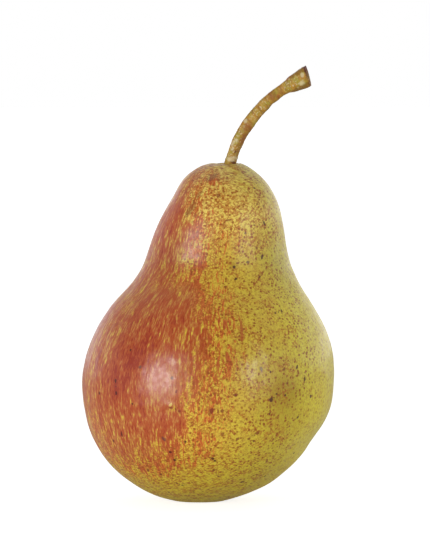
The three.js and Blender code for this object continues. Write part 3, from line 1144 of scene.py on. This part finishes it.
    def remember_marks(self, mesh: bmesh.types.BMesh, tint: Tint) -> None:
        """Makes the mesh remember where each point lies in the unit ball of its nearest mark.

        Args:
            mesh: The shaped skin, in metres.
            tint: The kind of mark.
        """
        layer = mesh.verts.layers.float_vector.new(tint.name.lower())
        marks = [Mark(*row) for row in SKIN_MARKS[tint]]
        balls = [self.spot(mark) for mark in marks]
        inward = [ball.inverted() for ball in balls]
        tree = KDTree(len(marks))
        for index, ball in enumerate(balls):
            tree.insert(ball.translation, index)
        tree.balance()
        for vert in mesh.verts:
            place = vert.co / MM
            _, index, far = tree.find(place)
            reach = max(marks[index].across, marks[index].along) / 2 + MARK_MARGIN
            vert[layer] = inward[index] @ place if far < reach else NOWHERE

    def dress(self, piece: bpy.types.Object, finish: SkinFinish) -> bpy.types.Object:
        """Gives the fruit its skin."""
        return mounted(piece, "fruit", finish.make())


# ---------------------------------------------------------------- the stalk

# The stalk's centre line, from the bottom of its socket to the cut end.
STALK_LINE = (
    (4.75, 0, 92.0),
    (6.5, 0, 97.1),
    (8.75, -0.1, 103.2),
    (13.05, -0.6, 110.0),
    (19.9, -1.4, 117.0),
    (28.75, -2.7, 122.15),
)
# Its thickness: share of its length, and share of its radius.
STALK_TAPER = (
    (0.0, 0.86),
    (0.15, 0.98),
    (0.2, 0.96),
    (0.42, 1.03),
    (0.62, 1.0),
    (0.76, 0.95),
    (0.83, 1.12),
    (0.89, 1.47),
    (0.94, 1.64),
    (1.0, 1.667),
)
STALK_RIDGES = ((3, 5.0, 0.03), (5, -9.0, 0.02))  # along the stalk: count, twist in radians, share
STALK_RIM = ((2, 0.6, 0.05), (5, 0.0, 0.03))  # round the cut: count, phase, share
STALK_RINGS = (46.0, 0.022)  # swellings along it: radians in all, share
STALK_SOFTENING = 6  # how many of its steps the centre line's kinks are rubbed out over
STALK_FACE_STEPS = 12  # rings across the cut
WRINKLES = (0.4, 0.4, 1.7)  # the bark's wrinkles and rings: how tightly they lie across and along
WRINKLE_SHARE = 0.035
KNOB_TIGHTNESS = 0.5
KNOB_SHARE = 0.08
PIT_TIGHTNESS = 1.1  # the cut's hollow is uneven
PIT_UNEVEN = 0.5

# Marks on the bark: share of the stalk's length, bearing round it (-90 is the front, and 0 is the upper
# side), breadth, length.
BARK_MARKS: dict[str, Sequence[Row]] = {
    "cream": (
        (0.176, -125, 2.4, 0.8),
        (0.158, -82, 2.6, 1.1),
        (0.451, -45, 1.3, 1.3),
        (0.3, -68, 1.0, 0.8),
        (0.27, -45, 1.0, 1.6),
        (0.235, -62, 0.9, 1.2),
        (0.97, -70, 1.4, 1.0),
        (0.945, -112, 1.4, 1.6),
    ),
    "flecks": (
        (0.25, -66, 2.8, 7.0),
        (0.33, -62, 2.2, 5.0),
        (0.4, -60, 1.8, 4.5),
        (0.58, -80, 2.6, 7.0),
        (0.88, -90, 4.0, 6.0),
    ),
    "red": (
        (0.702, -84, 2.4, 2.0),
        (0.71, -30, 2.0, 2.0),
        (0.868, -20, 1.4, 1.6),
        (0.74, -120, 1.4, 1.2),
        (0.42, -100, 2.6, 3.0),
        (0.33, -125, 1.6, 4.0),
    ),
    "dark": (
        (0.993, -15, 2.2, 0.9),
        # Painted shadow: the dark line at the stalk's foot, where it leaves the crown.
        (0.143, -120, 1.8, 0.7),
        (0.222, -104, 0.6, 0.7),
    ),
}


@dataclass(frozen=True)
class Stalk:
    """The woody stalk: a ringed rod that bends to the right and flares to an oblique cut."""

    radius: float = 1.68
    flare: float = 2.8
    cut_tilt: float = math.radians(13)
    pit: float = 0.7
    end_power: float = 8.0
    steps_round: int = 72
    steps_along: int = 320

    def frames(self) -> np.ndarray:
        """Gives evenly stepped frames along the line, of twelve measures: place, along, up and across."""
        line = smooth_line(STALK_LINE)
        run = np.append(0.0, np.cumsum(np.linalg.norm(np.diff(line, axis=0), axis=1)))
        even = np.linspace(0, run[-1], self.steps_along + 1)
        place = np.column_stack([np.interp(even, run, column) for column in line.T])
        half = 3 * STALK_SOFTENING
        place = averaged(place, np.array([bell(i, STALK_SOFTENING) for i in range(-half, half + 1)]))
        along = np.gradient(place, axis=0)
        along /= np.linalg.norm(along, axis=1, keepdims=True)
        up = np.cross(along, (0, 1, 0))
        up /= np.linalg.norm(up, axis=1, keepdims=True)
        return np.hstack([place, along, up, np.cross(up, along)])

    def length(self) -> float:
        """Gives the length of the centre line."""
        return float(np.linalg.norm(np.diff(smooth_line(STALK_LINE), axis=0), axis=1).sum())

    def swell(self, angle: float, share: float, place: Vector) -> float:
        """Gives the rod's size at a place, as a share of its radius."""
        ridges = sum(part * math.sin(count * angle + twist * share) for count, twist, part in STALK_RIDGES)
        rim = sum(part * math.sin(count * angle + phase) for count, phase, part in STALK_RIM)
        rim *= share**self.end_power
        turns, part = STALK_RINGS
        rings = part * math.sin(turns * share)
        wrinkles = WRINKLE_SHARE * noise.noise(place * Vector(WRINKLES))
        knobs = KNOB_SHARE * noise.noise(place * KNOB_TIGHTNESS)
        return 1 + ridges + rim + rings + wrinkles + knobs

    def build(self) -> bpy.types.Object:
        """Spins a straight rod, then bends it onto its line and shapes its cut."""
        frames = self.frames()
        length = self.length()
        taper = smooth_line(STALK_TAPER)
        shares = np.linspace(0, 1, self.steps_along + 1)
        radii = self.radius * np.interp(shares, taper[:, 0], taper[:, 1])
        face = np.linspace(1, 0, STALK_FACE_STEPS)[1:]
        rows = [(0.0, 0.0, 0.0, 0.0)]
        rows += [(radius, length * share, share, 0.0) for radius, share in zip(radii, shares)]
        rows += [(self.flare * part, length, 1.0, 1 - part**2) for part in face]
        mesh = turned(rows, self.steps_round, (Layer.SHARE, Layer.RISE))
        share_layer, sunk = (mesh.verts.layers.float[name.value] for name in (Layer.SHARE, Layer.RISE))
        rod = mesh.verts.layers.float_vector.new(Layer.ROD.value)
        for vert in mesh.verts:
            share = vert[share_layer]
            frame = frames[round(share * self.steps_along)]
            place, along, up, side = (Vector(frame[i : i + 3]) for i in (0, 3, 6, 9))
            angle, radius = math.atan2(vert.co.y, vert.co.x), math.hypot(vert.co.x, vert.co.y)
            vert[rod] = vert.co
            across = radius * self.swell(angle, share, vert.co)
            lift = across * math.cos(angle)
            cut = math.tan(self.cut_tilt) * lift * share**self.end_power
            pit = self.pit * vert[sunk] * (1 + PIT_UNEVEN * noise.noise(vert.co * PIT_TIGHTNESS))
            vert.co = (place + up * lift + side * across * math.sin(angle) + along * (cut - pit)) * MM
        mesh.verts.layers.float.remove(mesh.verts.layers.float[Layer.RISE.value])
        return finished(mesh, "pear_stalk")

    def dress(self, piece: bpy.types.Object, finish: BarkFinish) -> bpy.types.Object:
        """Gives the stalk its bark."""
        marks = {kind: [self.spot(*row) for row in rows] for kind, rows in BARK_MARKS.items()}
        return mounted(piece, "stalk", finish.make(marks))

    def spot(self, share: float, bearing: float, breadth: float, length: float) -> Matrix:
        """Gives a mark's unit ball on the straight rod, in millimetres."""
        angle = math.radians(bearing)
        taper = smooth_line(STALK_TAPER)
        radius = self.radius * float(np.interp(share, taper[:, 0], taper[:, 1]))
        centre = Vector((radius * math.cos(angle), radius * math.sin(angle), share * self.length()))
        turn = Matrix.Rotation(angle, 4, "Z")
        return Matrix.Translation(centre) @ turn @ Matrix.Diagonal((breadth, breadth / 2, length / 2, 1))


# ---------------------------------------------------------------- the calyx

# The eye's half outline, from under it to its top: radius and height.
EYE = ((0, 3.15), (0.75, 3.0), (1.0, 2.35), (1.45, 2.5), (1.6, 3.3), (1.1, 4.0), (0, 4.15))


@dataclass(frozen=True)
class Calyx:
    """The dried remains of the flower: an eye with five curled sepals and the stubs of its stamens."""

    sepals: int = 5
    length: float = 4.2
    width: float = 2.1
    root: float = 0.22
    tip: float = 0.12
    thickness: float = 0.3
    start: float = 0.5
    rise: float = 3.55
    droop: float = 2.75
    bend: float = 1.35
    shortening: float = 0.14
    trough: float = 1.4
    uneven: float = 0.06
    stray: float = 0.1
    lean: float = -2.4
    crinkle: float = 0.16
    crinkles: tuple[float, float, float] = (5, 4, 3)  # how tightly they lie along, across and by sepal
    stamens: int = 11
    stamen: tuple[float, float] = (0.11, 1.3)  # radius and length
    stamen_ends: tuple[float, float] = (0.6, 1.3)  # its two ends, as shares of its radius
    stamen_root: tuple[float, float] = (0.95, 2.2)  # how far out and how high it springs
    stamen_lean: tuple[float, float] = (150.0, 18.0)  # degrees from upright, and how much they differ
    sepal_steps: tuple[int, int] = (20, 8)
    eye_steps: tuple[int, int] = (40, 48)  # up and round

    def sepal(self, mesh: bmesh.types.BMesh, index: int) -> None:
        """Adds one sepal: a pointed blade that springs from the eye, hangs into the basin and curls."""
        along, wide = self.sepal_steps
        blade = bmesh.ops.create_grid(mesh, x_segments=along, y_segments=wide, size=0.5)["verts"]
        uneven = math.sin(4 * index)
        turn = Matrix.Rotation(2 * math.pi * (index + self.stray * uneven) / self.sepals, 4, "Z")
        for vert in blade:
            share = vert.co.x + 0.5
            half_wave = math.sin(math.pi * (self.root + (1 - self.root) * min(1.0, max(0.0, share))))
            across = vert.co.y * self.width * max(self.tip, half_wave)
            reach = self.length * share * (1 - self.shortening * share) * (1 + self.uneven * uneven)
            trough = self.trough * (across / self.width) ** 2
            ripple = noise.noise(Vector(self.crinkles) * Vector((share, vert.co.y, index)))
            z = self.rise - self.droop * share**self.bend - trough + self.crinkle * share * ripple
            vert.co = turn @ Vector((self.start + reach, across, z))
        faces = {face for vert in blade for face in vert.link_faces}
        bmesh.ops.recalc_face_normals(mesh, faces=list(faces))
        bmesh.ops.solidify(mesh, geom=list(faces), thickness=self.thickness)

    def stamen_stub(self, mesh: bmesh.types.BMesh, index: int) -> None:
        """Adds one dried stamen that hangs from the eye."""
        radius, length = self.stamen
        near, far = self.stamen_ends
        angle = 2 * math.pi * index / self.stamens + 0.4 * math.sin(7 * index)
        lean, differ = self.stamen_lean
        tilt = Matrix.Rotation(math.radians(lean + differ * math.sin(3 * index)), 4, "Y")
        place = Matrix.Translation(rolled(angle, *self.stamen_root))
        bmesh.ops.create_cone(
            mesh,
            cap_ends=True,
            segments=8,
            radius1=radius * near,
            radius2=radius * far,
            depth=length,
            matrix=place @ Matrix.Rotation(angle, 4, "Z") @ tilt,
        )

    def build(self) -> bpy.types.Object:
        """Spins the eye, then adds the sepals and the stamens."""
        up, around = self.eye_steps
        mesh = turned(evened(smooth_line(EYE), up), around, ())
        for index in range(self.sepals):
            self.sepal(mesh, index)
        for index in range(self.stamens):
            self.stamen_stub(mesh, index)
        bmesh.ops.translate(mesh, verts=mesh.verts, vec=(self.lean, 0, 0))
        bmesh.ops.scale(mesh, verts=mesh.verts, vec=(MM, MM, MM))
        return finished(mesh, "pear_calyx")

    def dress(self, piece: bpy.types.Object, finish: HuskFinish) -> bpy.types.Object:
        """Gives the calyx its husk."""
        return mounted(piece, "calyx", finish.make())


# ---------------------------------------------------------------- the studio


@dataclass(frozen=True)
class Softbox:
    """A soft light: its turn to the right of straight in front, elevation, distance, size and power."""

    name: str
    turn: float
    elevation: float
    distance: float
    width: float
    height: float
    watts: float

    def hang(self, target: Vector) -> None:
        """Hangs the light so that it faces the target."""
        turn, elevation = math.radians(self.turn), math.radians(self.elevation)
        level = math.cos(elevation)
        way = Vector((math.sin(turn) * level, -math.cos(turn) * level, math.sin(elevation)))
        data = bpy.data.lights.new(self.name, "AREA")
        data.shape = "RECTANGLE"
        data.size, data.size_y = self.width, self.height
        data.energy = self.watts
        lamp = bpy.data.objects.new(self.name, data)
        lamp.location = target + way * self.distance
        lamp.rotation_euler = way.to_track_quat("Z", "Y").to_euler()
        lamp.visible_camera = False
        bpy.context.scene.collection.objects.link(lamp)


@dataclass(frozen=True)
class Studio:
    """The pale floor, the soft lights, the white surroundings and the camera."""

    softboxes: tuple[Softbox, ...] = (
        Softbox("key", -44, -5, 0.8, 0.33, 0.6, 8.0),
        Softbox("fill", 45.5, 1, 0.9, 0.24, 0.56, 2.9),
    )
    middle: tuple[float, float, float] = (0.00215, 0.0, 0.06436)
    floor_radius: float = 3.0
    floor_white: float = 0.5
    floor_glow: float = 0.68
    floor_bounce: float = 0.12
    floor_roughness: float = 0.9
    camera_elevation: float = 4.0
    camera_distance: float = 1.5
    frame_height: float = 0.1587
    sensor: float = 36.0
    back_light: float = 1.56
    front_light: float = 0.42
    top_light: float = 0.44
    right_light: float = 0.25
    front_to_back: tuple[float, float] = (-0.7, 0.68)  # where the front's light gives way to the back's
    up_to_top: tuple[float, float] = (0.0, 0.5)  # and the level light to the top's

    def floor(self) -> bpy.types.Object:
        """Lays the pale floor."""
        mesh = bmesh.new()
        bmesh.ops.create_circle(mesh, cap_ends=True, segments=96, radius=self.floor_radius)
        piece = finished(mesh, "floor")
        board = Board("floor_white")
        board.shade("Base Color", (self.floor_white,) * 3 + (1,))
        board.shade("Roughness", self.floor_roughness)
        board.shade("Emission Color", (1, 1, 1, 1))
        seen = board.add("ShaderNodeLightPath", {}, "Is Camera Ray")
        glow = board.sum(board.times(seen, self.floor_glow), self.floor_bounce)
        board.shade("Emission Strength", glow)
        piece.data.materials.append(board.material)
        return piece

    def surroundings(self) -> None:
        """Sets white surroundings that light the pear more from behind and beside than from the front."""
        sky = Sky("studio")
        way = sky.add("ShaderNodeTexCoord", {}, "Generated")
        behind = sky.eased(sky.part(way, "Y"), *self.front_to_back, self.front_light, self.back_light)
        above = sky.eased(sky.part(way, "Z"), *self.up_to_top, 1.0, self.top_light)
        inputs = {0: sky.part(way, "X"), 1: self.right_light, 2: 1.0}
        beside = sky.add("ShaderNodeMath", inputs, operation="MULTIPLY_ADD")
        light = sky.times(sky.times(behind, above), beside)
        seen = sky.add("ShaderNodeLightPath", {}, "Is Camera Ray")
        sky.shade("Color", (1, 1, 1, 1))
        sky.shade("Strength", sky.fade(seen, light, 1.0))
        bpy.context.scene.world = sky.world

    def camera(self) -> None:
        """Sets the camera, level with the belly and a little above it."""
        data = bpy.data.cameras.new("camera")
        data.sensor_width = self.sensor
        data.lens = self.sensor * self.camera_distance / self.frame_height
        elevation = math.radians(self.camera_elevation)
        way = Vector((0, -math.cos(elevation), math.sin(elevation)))
        camera = bpy.data.objects.new("camera", data)
        camera.location = Vector(self.middle) + way * self.camera_distance
        camera.rotation_euler = way.to_track_quat("Z", "Y").to_euler()
        bpy.context.scene.collection.objects.link(camera)
        bpy.context.scene.camera = camera

    def build(self) -> None:
        """Sets up the whole studio."""
        self.floor()
        self.surroundings()
        for softbox in self.softboxes:
            softbox.hang(Vector(self.middle))
        self.camera()
        bpy.context.scene.view_settings.view_transform = "Standard"


def main() -> None:
    """Loads the frame, builds and dresses the pear's pieces, and sets up the studio."""
    logging.basicConfig(level=logging.INFO, format="%(name)s: %(message)s")
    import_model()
    fruit, stalk, calyx = Fruit(), Stalk(), Calyx()
    fruit.dress(fruit.build(), SkinFinish())
    stalk.dress(stalk.build(), BarkFinish())
    calyx.dress(calyx.build(), HuskFinish())
    Studio().build()


if __name__ == "__main__":
    main()
